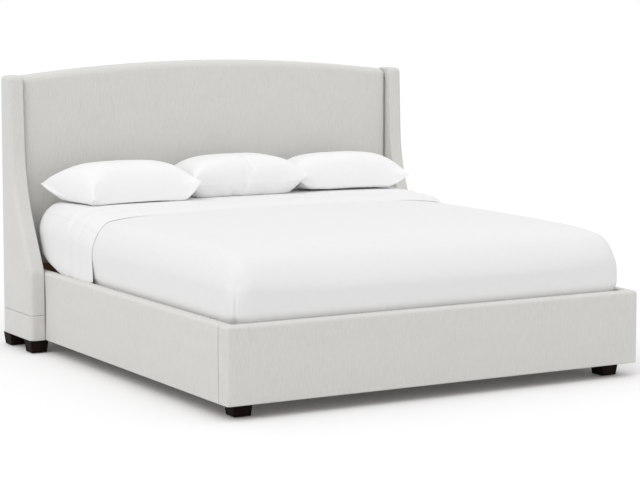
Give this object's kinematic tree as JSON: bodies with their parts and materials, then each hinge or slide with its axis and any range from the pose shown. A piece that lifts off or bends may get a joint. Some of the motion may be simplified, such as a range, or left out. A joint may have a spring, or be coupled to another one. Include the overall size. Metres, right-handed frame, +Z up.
{
  "type": "wingback bed",
  "caption": "Upholstered king bed with an arched headboard between two swept wings, low padded rails, a slatted base, a mattress, a duvet folded back at the head and pillows.",
  "frame": {"origin": "on the floor, under the middle of the bed's overall footprint", "axes": "+Z up, +Y from the foot end to the headboard, +X to the right seen from the foot end"},
  "size_m": [2.23, 2.25, 1.3768],
  "materials": {
    "upholstery": "pale warm grey linen-look weave with upright slubs",
    "back_lining": "hardboard faced with plain lining cloth",
    "foam": "open-cell cushion foam",
    "timber": "planed softwood, unfinished",
    "plywood": "sanded plywood",
    "slat_timber": "planed birch slats",
    "dark_foot_wood": "espresso stain under satin lacquer",
    "steel": "zinc-plated steel",
    "glide_plastic": "moulded nylon",
    "webbing": "woven polypropylene tape",
    "mattress_ticking": "quilted mattress ticking",
    "duvet_linen": "white cotton bed linen",
    "pillow_linen": "white cotton pillowcase"
  },
  "bodies": {
    "bed_frame": {"headboard_cover": "upholstery", "foot_rail_cover": "upholstery", "left_wing_upper_cover": "upholstery", "left_wing_lower_cover": "upholstery", "left_rail_cover": "upholstery", "right_wing_upper_cover": "upholstery", "right_wing_lower_cover": "upholstery", "right_rail_cover": "upholstery", "headboard_back_panel": "back_lining", "headboard_foam": "foam", "headboard_left_stile": "timber", "headboard_right_stile": "timber", "headboard_top_rail": "timber", "headboard_middle_rail": "timber", "headboard_bottom_rail": "timber", "left_wing_core": "timber", "left_rail_board": "timber", "left_corner_block": "timber", "left_slat_ledger": "timber", "right_wing_core": "timber", "right_rail_board": "timber", "right_corner_block": "timber", "right_slat_ledger": "timber", "foot_rail_board": "timber", "centre_beam": "timber", "centre_leg_1": "timber", "centre_leg_2": "timber", "centre_leg_3": "timber", "headboard_facing_board": "plywood", "slat_01": "slat_timber", "slat_02": "slat_timber", "slat_03": "slat_timber", "slat_04": "slat_timber", "slat_05": "slat_timber", "slat_06": "slat_timber", "slat_07": "slat_timber", "slat_08": "slat_timber", "slat_09": "slat_timber", "slat_10": "slat_timber", "slat_11": "slat_timber", "slat_12": "slat_timber", "left_front_wing_foot": "dark_foot_wood", "left_back_wing_foot": "dark_foot_wood", "left_end_foot": "dark_foot_wood", "right_front_wing_foot": "dark_foot_wood", "right_back_wing_foot": "dark_foot_wood", "right_end_foot": "dark_foot_wood", "wing_bolts": "steel", "corner_bolts": "steel", "rail_hooks": "steel", "hook_plates": "steel", "beam_cups": "steel", "foot_glides": "glide_plastic", "slat_straps": "webbing"},
    "bedding": {"mattress": "mattress_ticking", "duvet": "duvet_linen", "duvet_fold": "duvet_linen"},
    "left_pillow": {"left_pillow": "pillow_linen"},
    "middle_pillow": {"middle_pillow": "pillow_linen"},
    "right_pillow": {"right_pillow": "pillow_linen"}
  },
  "joints": [
    {"name": "bedding_lift", "type": "slide", "parent": "bed_frame", "child": "bedding", "axis": [0, 0, 1], "range_m": [0, 0.3]},
    {"name": "left_pillow_lift", "type": "slide", "parent": "bedding", "child": "left_pillow", "axis": [0, 0, 1], "range_m": [0, 0.25]},
    {"name": "middle_pillow_lift", "type": "slide", "parent": "bedding", "child": "middle_pillow", "axis": [0, 0, 1], "range_m": [0, 0.25]},
    {"name": "right_pillow_lift", "type": "slide", "parent": "bedding", "child": "right_pillow", "axis": [0, 0, 1], "range_m": [0, 0.25]}
  ]
}
